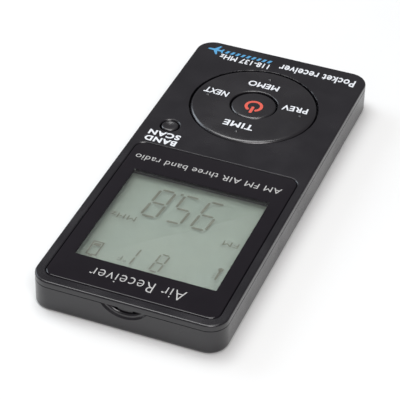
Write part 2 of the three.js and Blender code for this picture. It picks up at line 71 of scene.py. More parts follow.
# name, azimuth and elevation (degrees), distance (m), width and height (m), power (W), colour
SOFTBOXES = [
    ("key_softbox", 56, 76, 0.85, (0.58, 0.58), 4.7, WHITE_LIGHT),
    ("side_softbox", 75, 30, 0.8, (0.5, 0.35), 1.9, WINDOW_LIGHT),
    ("fill_softbox", 211, 51, 0.85, (0.44, 0.32), 3.1, WARM_LIGHT),
]


def from_angles(azimuth, elevation):
    """Unit vector towards a point in that direction, in degrees; from azimuth 0 one looks along +Y."""
    a, e = math.radians(azimuth), math.radians(elevation)
    return Vector((math.sin(a) * math.cos(e), -math.cos(a) * math.cos(e), math.sin(e)))


def make_camera():
    """A long lens that looks down along the face from the display end."""
    data = bpy.data.cameras.new("camera")
    data.lens = CAMERA_LENS_MM
    data.sensor_width = SENSOR_MM
    data.clip_start, data.clip_end = 0.01, 20
    camera = bpy.data.objects.new("camera", data)
    bpy.context.scene.collection.objects.link(camera)
    back = from_angles(CAMERA_AZIMUTH, CAMERA_ELEVATION)
    turn = back.to_track_quat("Z", "Y").to_matrix().to_4x4()
    roll = Matrix.Rotation(math.radians(CAMERA_ROLL), 4, "Z")
    camera.matrix_world = Matrix.Translation(CAMERA_AIM + back * CAMERA_DISTANCE) @ turn @ roll
    bpy.context.scene.camera = camera


def area_light(name, azimuth, elevation, distance, size, power, colour):
    """A rectangular softbox in that direction, aimed at the case."""
    data = bpy.data.lights.new(name, "AREA")
    data.color = colour
    data.shape = "RECTANGLE"
    data.size, data.size_y = size
    data.energy = power
    light = bpy.data.objects.new(name, data)
    bpy.context.scene.collection.objects.link(light)
    towards = from_angles(azimuth, elevation)
    light.location = towards * distance
    light.rotation_mode = "QUATERNION"
    light.rotation_quaternion = towards.to_track_quat("Z", "Y")


def make_studio():
    """Three softboxes, a dim even sky and a pale floor that the case lies on."""
    scene = bpy.context.scene
    scene.view_settings.view_transform = "Standard"
    scene.view_settings.look = "None"
    world = bpy.data.worlds.new("studio")
    scene.world = world
    world.use_nodes = True
    sky = world.node_tree.nodes["Background"]
    sky.inputs["Color"].default_value = (*SKY_COLOUR, 1)
    sky.inputs["Strength"].default_value = SKY_STRENGTH
    for row in SOFTBOXES:
        area_light(*row)
    floor_mesh = bpy.data.meshes.new("floor")
    signs = ((-1, -1), (1, -1), (1, 1), (-1, 1))
    corners = [(sx * FLOOR_HALF, sy * FLOOR_HALF, 0) for sx, sy in signs]
    floor_mesh.from_pydata(corners, [], [(0, 1, 2, 3)])
    floor = bpy.data.objects.new("floor", floor_mesh)
    scene.collection.objects.link(floor)
    floor_mesh.materials.append(floor_material())


# ------------------------------------------------------------------- materials


class Look:
    """A Principled material whose colour, roughness and bump come from object-space noise."""

    def __init__(self, name, colour, roughness, metallic=0.0, **uniform):
        self.material = bpy.data.materials.new(name)
        self.material.use_nodes = True
        self.tree = self.material.node_tree
        self.shader = self.tree.nodes["Principled BSDF"]
        self.colour = colour
        self.shader.inputs["Base Color"].default_value = (*colour, 1)
        self.shader.inputs["Roughness"].default_value = roughness
        self.shader.inputs["Metallic"].default_value = metallic
        for socket, value in uniform.items():
            self.shader.inputs[socket.replace("_", " ")].default_value = value
        self.place = self.tree.nodes.new("ShaderNodeTexCoord").outputs["Object"]
        self.normal = None

    def join(self, source, target):
        self.tree.links.new(source, target)

    def noise(self, size_mm, detail, stretch=None):
        """Noise from 0 to 1 whose lumps are about size_mm across, stretched per axis if asked."""
        place = self.place
        if stretch:
            mapping = self.tree.nodes.new("ShaderNodeMapping")
            mapping.inputs["Scale"].default_value = stretch
            self.join(place, mapping.inputs["Vector"])
            place = mapping.outputs["Vector"]
        node = self.tree.nodes.new("ShaderNodeTexNoise")
        node.inputs["Scale"].default_value = 1 / (size_mm * MM)
        node.inputs["Detail"].default_value = detail
        self.join(place, node.inputs["Vector"])
        return node.outputs["Fac"]

    def ranged(self, value, low, high, start=0.3, end=0.7):
        """The value mapped from start..end to low..high."""
        node = self.tree.nodes.new("ShaderNodeMapRange")
        node.inputs["From Min"].default_value = start
        node.inputs["From Max"].default_value = end
        node.inputs["To Min"].default_value = low
        node.inputs["To Max"].default_value = high
        self.join(value, node.inputs["Value"])
        return node.outputs["Result"]

    def multiply(self, first, second):
        node = self.tree.nodes.new("ShaderNodeMath")
        node.operation = "MULTIPLY"
        self.join(first, node.inputs[0])
        self.join(second, node.inputs[1])
        return node.outputs[0]

    def bump(self, height, depth_mm, strength=1.0):
        """Adds a bump of that depth on top of any bump already there."""
        node = self.tree.nodes.new("ShaderNodeBump")
        node.inputs["Strength"].default_value = strength
        node.inputs["Distance"].default_value = depth_mm * MM
        self.join(height, node.inputs["Height"])
        if self.normal is not None:
            self.join(self.normal, node.inputs["Normal"])
        self.normal = node.outputs["Normal"]
        self.join(self.normal, self.shader.inputs["Normal"])

    def tint(self, factor, other):
        """Blends the base colour towards another colour by a factor."""
        node = self.tree.nodes.new("ShaderNodeMix")
        node.data_type = "RGBA"
        source = self.shader.inputs["Base Color"]
        if source.is_linked:
            self.join(source.links[0].from_socket, node.inputs["A"])
        else:
            node.inputs["A"].default_value = (*self.colour, 1)
        node.inputs["B"].default_value = (*other, 1)
        self.join(factor, node.inputs["Factor"])
        self.join(node.outputs["Result"], source)

    def rough(self, value):
        self.join(value, self.shader.inputs["Roughness"])

    def edges(self, radius_mm):
        """1 along convex and concave edges of the surface, 0 on its flats."""
        least_turn, full_turn = 0.002, 0.06
        rounded = self.tree.nodes.new("ShaderNodeBevel")
        rounded.samples = 4
        rounded.inputs["Radius"].default_value = radius_mm * MM
        flat = self.tree.nodes.new("ShaderNodeNewGeometry")
        dot = self.tree.nodes.new("ShaderNodeVectorMath")
        dot.operation = "DOT_PRODUCT"
        self.join(rounded.outputs["Normal"], dot.inputs[0])
        self.join(flat.outputs["Normal"], dot.inputs[1])
        return self.ranged(dot.outputs["Value"], 1, 0, 1 - full_turn, 1 - least_turn)


def moulded_plastic(name, colour, roughness, grain_mm=0.28, grain_depth_mm=0.006, worn=0.35,
                    ior=1.5):
    """Satin moulded plastic: fine spark grain, faint handling sheen, rubbed edges."""
    look = Look(name, colour, roughness, IOR=ior)
    grain = look.noise(grain_mm, 3)
    patches = look.noise(9, 3)
    look.bump(grain, grain_depth_mm)
    look.bump(look.noise(2.5, 2), grain_depth_mm * 1.5, 0.5)
    look.rough(look.ranged(patches, roughness - 0.05, roughness + 0.06))
    paler = tuple(c * 1.35 + 0.004 for c in colour)
    look.tint(look.ranged(patches, 0, 0.5, 0.35, 0.75), paler)
    rubbed = tuple(c * 2.0 + 0.012 for c in colour)
    broken = look.ranged(look.noise(1.2, 4), 0.2, 1, 0.4, 0.65)
    wear = look.multiply(look.edges(0.25), look.ranged(broken, 0, worn, 0, 1))
    look.tint(wear, rubbed)
    return look.material


def metal(name, colour, roughness, brushed=(1, 1, 1), scratch_mm=0.5):
    """Plated or bare metal with fine directional marks and slight tarnish."""
    look = Look(name, colour, roughness, metallic=1.0)
    marks = look.noise(scratch_mm, 4, brushed)
    look.rough(look.ranged(marks, roughness * 0.7, roughness * 1.4))
    look.bump(marks, 0.004)
    tarnish = look.ranged(look.noise(1.5, 3), 0, 0.45, 0.45, 0.75)
    look.tint(tarnish, tuple(c * 0.55 for c in colour))
    return look.material


def print_ink(name, colour, roughness=0.45):
    """Screen-printed ink: slightly uneven cover and a fine mesh texture."""
    look = Look(name, colour, roughness)
    cover = look.noise(0.35, 3)
    look.tint(look.ranged(cover, 0, 0.35, 0.45, 0.8), tuple(c * 0.72 for c in colour))
    look.rough(look.ranged(cover, roughness - 0.08, roughness + 0.1))
    look.bump(cover, 0.003)
    return look.material


def clear_acrylic():
    """The display window: hard, clear and glossy, with the faintest haze of handling."""
    look = Look("clear_acrylic", (0.93, 0.95, 0.94), 0.04, IOR=1.49, Transmission_Weight=1.0)
    smudges = look.noise(7, 4)
    look.rough(look.ranged(smudges, 0.02, 0.06, 0.45, 0.75))
    return look.material


def black_backed_acrylic():
    """The border of the window: polished, nearly black with a trace of violet, faintly hazed."""
    look = Look("black_backed_acrylic", (0.0068, 0.0052, 0.0080), 0.06, IOR=1.49)
    look.rough(look.ranged(look.noise(7, 4), 0.04, 0.09, 0.4, 0.75))
    look.tint(look.ranged(look.noise(3, 3), 0, 0.6), (0.0090, 0.0072, 0.0104))
    look.bump(look.noise(6, 1), 0.004, 0.4)
    return look.material


def display_back():
    """The pale grey-green reflector behind the liquid crystal, with a fine sparkle."""
    look = Look("display_back", (0.157, 0.184, 0.155), 0.55)
    sparkle = look.noise(0.12, 2)
    clouds = look.noise(14, 2)
    look.tint(look.ranged(clouds, 0, 0.4, 0.35, 0.7), (0.138, 0.170, 0.148))
    look.tint(look.ranged(sparkle, 0, 0.3, 0.5, 0.75), (0.172, 0.195, 0.163))
    look.rough(look.ranged(sparkle, 0.45, 0.65))
    look.bump(sparkle, 0.004)
    return look.material


def display_ink():
    """A turned-on segment: matt, and a little uneven."""
    colour = (0.080, 0.080, 0.060)
    look = Look("display_ink", colour, 0.7)
    look.tint(look.ranged(look.noise(0.6, 2), 0, 0.5), tuple(c * 1.35 for c in colour))
    look.rough(look.ranged(look.noise(0.6, 2), 0.6, 0.8))
    return look.material


def circuit_board():
    """Solder-masked board with copper tracks showing through the mask."""
    look = Look("circuit_board", (0.010, 0.085, 0.035), 0.35)
    tracks = look.ranged(look.noise(1.1, 0, (1, 0.15, 1)), 0, 1, 0.52, 0.54)
    areas = look.ranged(look.noise(6, 1), 0, 1, 0.45, 0.5)
    look.tint(look.multiply(tracks, areas), (0.03, 0.16, 0.06))
    look.bump(tracks, 0.03)
    look.rough(look.ranged(look.noise(3, 3), 0.28, 0.42))
    return look.material


def floor_material():
    """Matt white paper, very slightly uneven."""
    look = Look("studio_floor", (0.868, 0.876, 0.866), 0.65)
    look.rough(look.ranged(look.noise(30, 2), 0.6, 0.7))
    look.tint(look.ranged(look.noise(60, 2), 0, 0.3), (0.88, 0.888, 0.878))
    return look.material


# --------------------------------------------------------------- mesh building


def add_piece(name, mesh, body, material, replaces=()):
    """Links a mesh as a smooth-shaded piece that rides on a body."""
    mesh.polygons.foreach_set("use_smooth", [True] * len(mesh.polygons))
    mesh.set_sharp_from_angle(angle=math.radians(SHARP_DEGREES))
    piece = bpy.data.objects.new(name, mesh)
    bpy.context.scene.collection.objects.link(piece)
    mesh.materials.append(material)
    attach(piece, body)
    if replaces:
        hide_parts(*replaces)
    return piece


def add_solid(name, bm, body, material, replaces=()):
    """Turns a finished bmesh into a piece, its faces turned outwards."""
    bmesh.ops.recalc_face_normals(bm, faces=bm.faces)
    mesh = bpy.data.meshes.new(name)
    bm.to_mesh(mesh)
    bm.free()
    return add_piece(name, mesh, body, material, replaces)


def rounded_rect(x0, x1, y0, y1, radius, steps):
    """Outline points of a rounded rectangle, anticlockwise from the lower right corner."""
    points = []
    corners = [(x1, y0, 1, -1, -90), (x1, y1, 1, 1, 0), (x0, y1, -1, 1, 90), (x0, y0, -1, -1, 180)]
    for x, y, sx, sy, start in corners:
        cx, cy = x - sx * radius, y - sy * radius
        for i in range(steps + 1):
            a = math.radians(start + 90 * i / steps)
            points.append((cx + radius * math.cos(a), cy + radius * math.sin(a)))
    return points


def skin(bm, lower, upper):
    """Joins two rings of as many vertices with a band of faces."""
    count = len(lower)
    for i in range(count):
        j = (i + 1) % count
        bm.faces.new((lower[i], lower[j], upper[j], upper[i]))


def plate(bm, outline, z0, z1, chamfer=0.0):
    """Adds a flat plate, its top rim rounded if asked: stacked copies of one convex outline."""
    steps = 3
    cx = sum(p[0] for p in outline) / len(outline)
    cy = sum(p[1] for p in outline) / len(outline)
    half_x = max(p[0] for p in outline) - cx
    half_y = max(p[1] for p in outline) - cy
    levels = [(0.0, z0)]
    if chamfer:
        for i in range(steps + 1):
            a = math.radians(90 * i / steps)
            levels.append((chamfer * (1 - math.cos(a)), z1 - chamfer + chamfer * math.sin(a)))
    else:
        levels.append((0.0, z1))
    rings = []
    for inset, z in levels:
        sx, sy = 1 - inset / half_x, 1 - inset / half_y
        shrunk = [(cx + (x - cx) * sx, cy + (y - cy) * sy, z) for x, y in outline]
        rings.append([bm.verts.new(point) for point in shrunk])
    for lower, upper in zip(rings, rings[1:]):
        skin(bm, lower, upper)
    bm.faces.new(rings[-1])
    bm.faces.new(list(reversed(rings[0])))


def chamfered_frame(bm, outer, inner, z0, z1, chamfer):
    """Adds a flat frame between two outlines of as many points, its top outer rim rounded."""
    steps = 5
    half_x = max(p[0] for p in outer)
    middle_y = (max(p[1] for p in outer) + min(p[1] for p in outer)) / 2
    half_y = max(p[1] for p in outer) - middle_y
    rings = [[(x, y, z0) for x, y in inner], [(x, y, z0) for x, y in outer]]
    for i in range(steps + 1):
        a = math.radians(90 * i / steps)
        inset = chamfer * (1 - math.cos(a))
        sx, sy = 1 - inset / half_x, 1 - inset / half_y
        z = z1 - chamfer + chamfer * math.sin(a)
        rings.append([(x * sx, middle_y + (y - middle_y) * sy, z) for x, y in outer])
    rings.append([(x, y, z1) for x, y in inner])
    rings = [[bm.verts.new(point) for point in ring] for ring in rings]
    for lower, upper in zip(rings, rings[1:] + rings[:1]):
        skin(bm, lower, upper)


def lathe(bm, profile, centre, steps):
    """Adds a profile of (radius, height) points turned round a vertical axis at centre."""
    rings = []
    for radius, z in profile:
        if radius < MERGE_DISTANCE:
            rings.append([bm.verts.new((centre[0], centre[1], z))])
            continue
        ring = []
        for i in range(steps):
            a = 2 * math.pi * i / steps
            x, y = centre[0] + radius * math.cos(a), centre[1] + radius * math.sin(a)
            ring.append(bm.verts.new((x, y, z)))
        rings.append(ring)
    for lower, upper in zip(rings, rings[1:]):
        for i in range(steps):
            j = (i + 1) % steps
            around = ((lower, i), (lower, j), (upper, j), (upper, i))
            corners = [ring[k % len(ring)] for ring, k in around]
            bm.faces.new(list(dict.fromkeys(corners)))


def arc(radius, centre_r, centre_z, start, end, steps=8):
    """Profile points along an arc, angles in degrees from the outward direction."""
    points = []
    for i in range(steps + 1):
        a = math.radians(start + (end - start) * i / steps)
        points.append((centre_r + radius * math.cos(a), centre_z + radius * math.sin(a)))
    return points


def ribbon(bm, points, width, z0, z1):
    """Adds a flat stroke of even width along a line, with round ends."""
    half, cap_steps = width / 2, 8
    left, right = [], []
    for i, (x, y) in enumerate(points):
        before, after = points[max(i - 1, 0)], points[min(i + 1, len(points) - 1)]
        along = Vector((after[0] - before[0], after[1] - before[1])).normalized()
        side = Vector((-along.y, along.x)) * half
        left.append((x + side.x, y + side.y))
        right.append((x - side.x, y - side.y))

    def cap(tip, corner):
        start = math.atan2(corner[1] - tip[1], corner[0] - tip[0])
        turns = [start - math.pi * k / cap_steps for k in range(1, cap_steps)]
        return [(tip[0] + half * math.cos(a), tip[1] + half * math.sin(a)) for a in turns]

    outline = left + cap(points[-1], left[-1]) + right[::-1] + cap(points[0], right[0])
    prism(bm, outline, z0, z1)


def prism(bm, outline, z0, z1):
    """Adds a straight-sided solid over any simple outline."""
    low = [bm.verts.new((x, y, z0)) for x, y in outline]
    top = [bm.verts.new((x, y, z1)) for x, y in outline]
    skin(bm, low, top)
    ends = [bm.faces.new(top), bm.faces.new(low[::-1])]
    for face in ends:
        face.normal_update()
    bmesh.ops.triangulate(bm, faces=ends)


# ------------------------------------------------------------------ CAD finish


SMOOTH_DEGREES = 27
WELD_MM = 0.002
FLAT_DEGREES = 0.4
BEVEL_DEGREES = 38


def smooth_by_angle():
    """A node group that shades a mesh smooth but keeps edges over SMOOTH_DEGREES crisp."""
    group = bpy.data.node_groups.new("smooth_by_angle", "GeometryNodeTree")
    group.interface.new_socket("Geometry", in_out="INPUT", socket_type="NodeSocketGeometry")
    group.interface.new_socket("Geometry", in_out="OUTPUT", socket_type="NodeSocketGeometry")
    start = group.nodes.new("NodeGroupInput")
    end = group.nodes.new("NodeGroupOutput")
    faces = group.nodes.new("GeometryNodeSetShadeSmooth")
    faces.domain = "FACE"
    edges = group.nodes.new("GeometryNodeSetShadeSmooth")
    edges.domain = "EDGE"
    edges.inputs["Shade Smooth"].default_value = False
    angle = group.nodes.new("GeometryNodeInputMeshEdgeAngle")
    sharp = group.nodes.new("FunctionNodeCompare")
    sharp.data_type = "FLOAT"
    sharp.operation = "GREATER_THAN"
    sharp.inputs["B"].default_value = math.radians(SMOOTH_DEGREES)
    group.links.new(start.outputs[0], faces.inputs["Geometry"])
    group.links.new(faces.outputs["Geometry"], edges.inputs["Geometry"])
    group.links.new(angle.outputs["Unsigned Angle"], sharp.inputs["A"])
    group.links.new(sharp.outputs["Result"], edges.inputs["Selection"])
    group.links.new(edges.outputs["Geometry"], end.inputs[0])
    return group


SMOOTHING = smooth_by_angle()


def finish_node(name, material, edge_mm=0.0, steps=2):
    """Gives a CAD node its material, softened edges and smooth curved faces."""
    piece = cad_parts[name]
    for slot in piece.material_slots:
        slot.material = material
    if not piece.material_slots:
        piece.data.materials.append(material)
    weld = piece.modifiers.new("weld", "WELD")
    weld.merge_threshold = WELD_MM * MM
    if edge_mm:
        flats = piece.modifiers.new("merge_flats", "DECIMATE")
        flats.decimate_type = "DISSOLVE"
        flats.angle_limit = math.radians(FLAT_DEGREES)
        bevel = piece.modifiers.new("soft_edges", "BEVEL")
        bevel.width = edge_mm * MM
        bevel.segments = steps
        bevel.limit_method = "ANGLE"
        bevel.angle_limit = math.radians(BEVEL_DEGREES)
        bevel.use_clamp_overlap = True
    shading = piece.modifiers.new("shading", "NODES")
    shading.node_group = SMOOTHING
    levelled = piece.modifiers.new("level_flats", "WEIGHTED_NORMAL")
    levelled.keep_sharp = True
    levelled.weight = 100


# -------------------------------------------------------------------- controls

BUMP_RISE = 0.15 * MM
INK_ROOM = 0.02 * MM


def centre_of(node):
    """The middle of a CAD node's box."""
    low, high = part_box(node)
    return (Vector(low) + Vector(high)) / 2


def top_of(node):
    """The greatest height of a CAD node."""
    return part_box(node)[1][2]


def ring_surface():
    """The ring's top face, below its touch bumps."""
    top = top_of("nav_ring") - BUMP_RISE
    return crowned("nav_ring", top, from_r=6 * MM, to_r=15 * MM, drop=0.22 * MM)


def power_surface():
    """The power button's top face, with room above it for the ink."""
    top = top_of("power_button") - INK_ROOM
    return crowned("power_button", top, from_r=0, to_r=5 * MM, drop=0.16 * MM)


def make_ring(material):
    """The rocker ring, hollow underneath: broad rounded outer edge, four bumps, four nubs below."""
    low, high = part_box("nav_ring")
    centre = centre_of("nav_ring")
    flange_r = (high[0] - low[0]) / 2
    outer_r = flange_r - 1.1 * MM
    inner_r = 5.9 * MM
    top = high[2] - BUMP_RISE
    edge, inner_edge = 0.95 * MM, 0.3 * MM
    hub_r, wall_r = inner_r + 1.1 * MM, outer_r - 1.2 * MM
    ceiling, hub_foot = top - 1.3 * MM, top - 2.0 * MM
    flange_top, base = top - 2.55 * MM, top - 3.05 * MM
    surface = ring_surface()
    profile = [(inner_r, hub_foot), (inner_r, top - inner_edge)]
    profile += arc(inner_edge, inner_r + inner_edge, top - inner_edge, 180, 90)
    flat_start, flat_end = inner_r + inner_edge, outer_r - edge
    for i in range(1, 10):
        r = flat_start + (flat_end - flat_start) * i / 10
        profile.append((r, surface(centre.x + r, centre.y)))
    profile += arc(edge, flat_end, surface(centre.x + flat_end, centre.y) - edge, 84, 0, 14)
    profile += [(outer_r, flange_top), (flange_r, flange_top), (flange_r, base), (wall_r, base)]
    profile += [(wall_r, ceiling), (hub_r, ceiling), (hub_r, hub_foot), (inner_r, hub_foot)]
    bm = bmesh.new()
    lathe(bm, profile, centre, 192)
    bmesh.ops.remove_doubles(bm, verts=bm.verts, dist=MERGE_DISTANCE)
    add_solid("rocker_ring", bm, "rocker_ring", material, ["nav_ring"])
    bump_r, nub_r, reach, sunk, steps = 0.5 * MM, 1.1 * MM, 12 * MM, 0.1 * MM, 24
    peak, nub_top = top + BUMP_RISE, ceiling + sunk
    bm = bmesh.new()
    for dx, dy in ((0, 1), (1, 0), (0, -1), (-1, 0)):
        spot = (centre.x + dx * reach, centre.y + dy * reach)
        lathe(bm, [(0, low[2]), (nub_r, low[2]), (nub_r, nub_top), (0, nub_top)], spot, steps)
        foot = surface(*spot) - sunk
        turns = [math.radians(a) for a in range(0, 90, 10)]
        dome = [(bump_r * math.cos(a), foot + (peak - foot) * math.sin(a)) for a in turns]
        lathe(bm, dome + [(0, peak)], spot, steps)
    add_solid("ring_touch_bumps", bm, "rocker_ring", material)


def button_foot(node, radius, flange_drop, flange_height):
    """Profile of a button's stem and flange, the flange's underside flange_drop below the top."""
    low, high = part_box(node)
    stem_r, flange_r = 1 * MM, (high[0] - low[0]) / 2
    flange_low = high[2] - flange_drop
    flange_high = flange_low + flange_height
    return [(0, low[2]), (stem_r, low[2]), (stem_r, flange_low), (flange_r, flange_low),
            (flange_r, flange_high), (radius, flange_high)]


def make_power_button(material):
    """The power button: a low crown with a broad rounded edge."""
    centre = centre_of("power_button")
    radius, edge = 5.6 * MM, 0.6 * MM
    surface = power_surface()
    shoulder = radius - edge
    profile = button_foot("power_button", radius, 3 * MM, 0.5 * MM)
    profile += arc(edge, shoulder, surface(centre.x + shoulder, centre.y) - edge, 0, 84, 12)
    for i in range(9, -1, -1):
        r = shoulder * i / 10
        profile.append((r, surface(centre.x + r, centre.y)))
    bm = bmesh.new()
    lathe(bm, profile, centre, 128)
    add_solid("power_cap", bm, "power_key", material, ["power_button"])


def make_band_button(material):
    """The band button: a small cap with a rounded rim and a dished top."""
    centre = centre_of("band_button")
    radius, edge, dish = 2.1 * MM, 0.5 * MM, 0.22 * MM
    top = top_of("band_button")
    profile = button_foot("band_button", radius, 2.55 * MM, 0.55 * MM)
    profile += arc(edge, radius - edge, top - edge, 0, 90, 10)
    rim_r = radius - edge
    for i in range(1, 8):
        share = i / 8
        profile.append((rim_r * (1 - share), top - dish * math.sin(share * math.pi / 2)))
    profile.append((0, top - dish))
    bm = bmesh.new()
    lathe(bm, profile, centre, 72)
    add_solid("band_cap", bm, "band_key", material, ["band_button"])


# --------------------------------------------------------------------- display

LCD_EDGE = 16.7 * MM
LCD_NEAR, LCD_FAR = 6.7 * MM, 40.4 * MM
LCD_BACK_Z = 5.4 * MM
LCD_INK_Z = 5.95 * MM
LCD_INK_TOP = LCD_INK_Z + 0.02 * MM
DIGIT_LEAN = 0.09
BIG_DIGIT = dict(width=3.6 * MM, height=10.4 * MM, stroke=0.62 * MM)
SMALL_DIGIT = dict(width=2.1 * MM, height=6.2 * MM, stroke=0.42 * MM)
# digit, centre x and y (mm), size
DIGITS = [
    (9, -4.8, 14.9, BIG_DIGIT),
    (5, 1.3, 14.9, BIG_DIGIT),
    (8, 7.3, 14.9, BIG_DIGIT),
    (8, -1.1, 34.7, SMALL_DIGIT),
    (1, 3.6, 34.7, SMALL_DIGIT),
]
SEGMENTS_LIT = {1: "bc", 5: "afgcd", 8: "abcdefg", 9: "abcdfg"}
# name, text, centre x and y, ink width and height (mm)
DISPLAY_WORDS = [
    ("display_word_fm", "FM", -13.3, 22.4, 3.7, 1.7),
    ("display_word_mhz", "MHz", 12.9, 22.3, 6.2, 1.7),
    ("display_word_degrees", "°F", 7.0, 36.4, 2.2, 1.7),
]


def make_lens(glass, border):
    """The window plate: its black-backed border, and the clear part over the display."""
    low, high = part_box("display_lens")
    corner_steps, tape_gap, sunk = 12, 0.1 * MM, 0.004 * MM
    bm = bmesh.new()
    outer = rounded_rect(low[0], high[0], low[1], high[1], 2.4 * MM, corner_steps)
    inner = rounded_rect(-LCD_EDGE, LCD_EDGE, LCD_NEAR, LCD_FAR, 0.25 * MM, corner_steps)
    chamfered_frame(bm, outer, inner, low[2], high[2], 0.32 * MM)
    add_solid("window_border", bm, "housing", border, ["display_lens"])
    bm = bmesh.new()
    plate(bm, inner, low[2] + tape_gap, high[2] - sunk)
    window = add_solid("display_window", bm, "housing", glass)
    window.visible_shadow = False


def make_display(back, ink):
    """The reflector, and the lit segments floating just above it."""
    low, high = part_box("lcd_glass")
    bm = bmesh.new()
    outline = rounded_rect(low[0], high[0], low[1], high[1], 0.4 * MM, 4)
    plate(bm, outline, low[2], LCD_BACK_Z, 0.03 * MM)
    add_solid("display_reflector", bm, "housing", back, ["lcd_glass"])
    bm = bmesh.new()
    for digit, x, y, size in DIGITS:
        seven_segments(bm, x * MM, y * MM, digit, **size)
    point_half = 0.35 * MM
    prism_box(bm, 3.5 * MM, 9.7 * MM, point_half, point_half)
    thermometer(bm, -14.4 * MM, 33.1 * MM)
    battery_sign(bm, 14.1 * MM, 35.3 * MM)
    segments = add_solid("display_segments", bm, "housing", ink)
    segments.visible_shadow = False
    for name, text, x, y, width, height in DISPLAY_WORDS:
        word = lettering(name, text, (x, y), (width, height), level(LCD_INK_Z), "housing", ink,
                         spacing=1.1)
        word.visible_shadow = False


def seven_segments(bm, x, y, digit, width, height, stroke):
    """Adds one seven-segment digit centred on x, y, leaning to its right."""
    half_w, half_h, half = width / 2, height / 2, stroke / 2
    gap = stroke * 0.5
    places = {
        "a": (0, half_h, True), "g": (0, 0, True), "d": (0, -half_h, True),
        "b": (half_w, half_h / 2, False), "f": (-half_w, half_h / 2, False),
        "c": (half_w, -half_h / 2, False), "e": (-half_w, -half_h / 2, False),
    }
    for name in SEGMENTS_LIT[digit]:
        cx, cy, across = places[name]
        reach = (half_w if across else half_h / 2) - gap
        bar = [(-reach, 0), (-reach + half, -half), (reach - half, -half),
               (reach, 0), (reach - half, half), (-reach + half, half)]
        if not across:
            bar = [(-v, u) for u, v in bar]
        outline = [(x + cx + u + DIGIT_LEAN * (cy + v), y + cy + v) for u, v in bar]
        prism(bm, outline, LCD_INK_Z, LCD_INK_TOP)


def prism_box(bm, x, y, half_x, half_y):
    """Adds one rectangular display segment centred on x, y."""
    x0, x1, y0, y1 = x - half_x, x + half_x, y - half_y, y + half_y
    prism(bm, [(x0, y0), (x1, y0), (x1, y1), (x0, y1)], LCD_INK_Z, LCD_INK_TOP)


def thermometer(bm, x, y):
    """Adds a small thermometer: a tube, a bulb and three scale marks."""
    bulb_r, bulb_y, bulb_sides = 0.65 * MM, y - 1.6 * MM, 16
    tube = [(x, y - 1.0 * MM), (x, y + 1.9 * MM)]
    ribbon(bm, tube, 0.5 * MM, LCD_INK_Z, LCD_INK_TOP)
    turns = [2 * math.pi * k / bulb_sides for k in range(bulb_sides)]
    bulb = [(x + bulb_r * math.cos(a), bulb_y + bulb_r * math.sin(a)) for a in turns]
    prism(bm, bulb, LCD_INK_Z, LCD_INK_TOP)
    for k in range(3):
        prism_box(bm, x + 0.75 * MM, y + (0.2 + 0.7 * k) * MM, 0.22 * MM, 0.09 * MM)


def battery_sign(bm, x, y):
    """Adds an upright battery outline with its lowest bar lit."""
    half_x, half_y, line = 1.15 * MM, 2.3 * MM, 0.16 * MM
    prism_box(bm, x - half_x, y, line, half_y)
    prism_box(bm, x + half_x, y, line, half_y)
    prism_box(bm, x, y + half_y, half_x + line, line)
    prism_box(bm, x, y - half_y, half_x + line, line)
    prism_box(bm, x, y + half_y + 0.35 * MM, 0.45 * MM, 0.2 * MM)
    prism_box(bm, x, y - half_y + 0.95 * MM, 0.78 * MM, 0.42 * MM)


# ------------------------------------------------------------------- lettering

INK = 0.015 * MM
TINY_EDGE = 0.006
WORD_DEPTH = 0.5


def level(z):
    """A flat surface at height z, as a function of x and y."""
    return lambda x, y: z


def crowned(node, top, from_r, to_r, drop):
    """A round top about a node's centre that falls away by drop between two radii."""
    centre = centre_of(node)

    def height(x, y):
        share = (math.hypot(x - centre.x, y - centre.y) - from_r) / (to_r - from_r)
        return top - drop * min(max(share, 0), 1) ** 2

    return height


def evaluated(curve):
    """An evaluated object that shows a curve or text, and the depsgraph it is valid in."""
    holder = bpy.data.objects.new(curve.name, curve)
    bpy.context.scene.collection.objects.link(holder)
    bpy.context.view_layer.update()
    depsgraph = bpy.context.evaluated_depsgraph_get()
    return holder, holder.evaluated_get(depsgraph), depsgraph


def outlines(name, text, spacing):
    """The outlines of some words, without the tiny edges that a heavier weight turns inside out."""
    font = bpy.data.curves.new(name, "FONT")
    font.body = text
    font.space_character = spacing
    holder, drawn, depsgraph = evaluated(font)
    curve = bpy.data.curves.new(name, "CURVE")
    curve.dimensions = "2D"
    for spline in drawn.to_curve(depsgraph).splines:
        kept = []
        for point in spline.bezier_points:
            if not kept or (point.co - kept[-1].co).length > TINY_EDGE:
                kept.append(point)
        target = curve.splines.new("BEZIER")
        target.use_cyclic_u = True
        target.bezier_points.add(len(kept) - 1)
        for new, old in zip(target.bezier_points, kept):
            new.co, new.handle_left, new.handle_right = old.co, old.handle_left, old.handle_right
            new.handle_left_type, new.handle_right_type = old.handle_left_type, old.handle_right_type
    bpy.data.objects.remove(holder)
    bpy.data.curves.remove(font)
    return curve


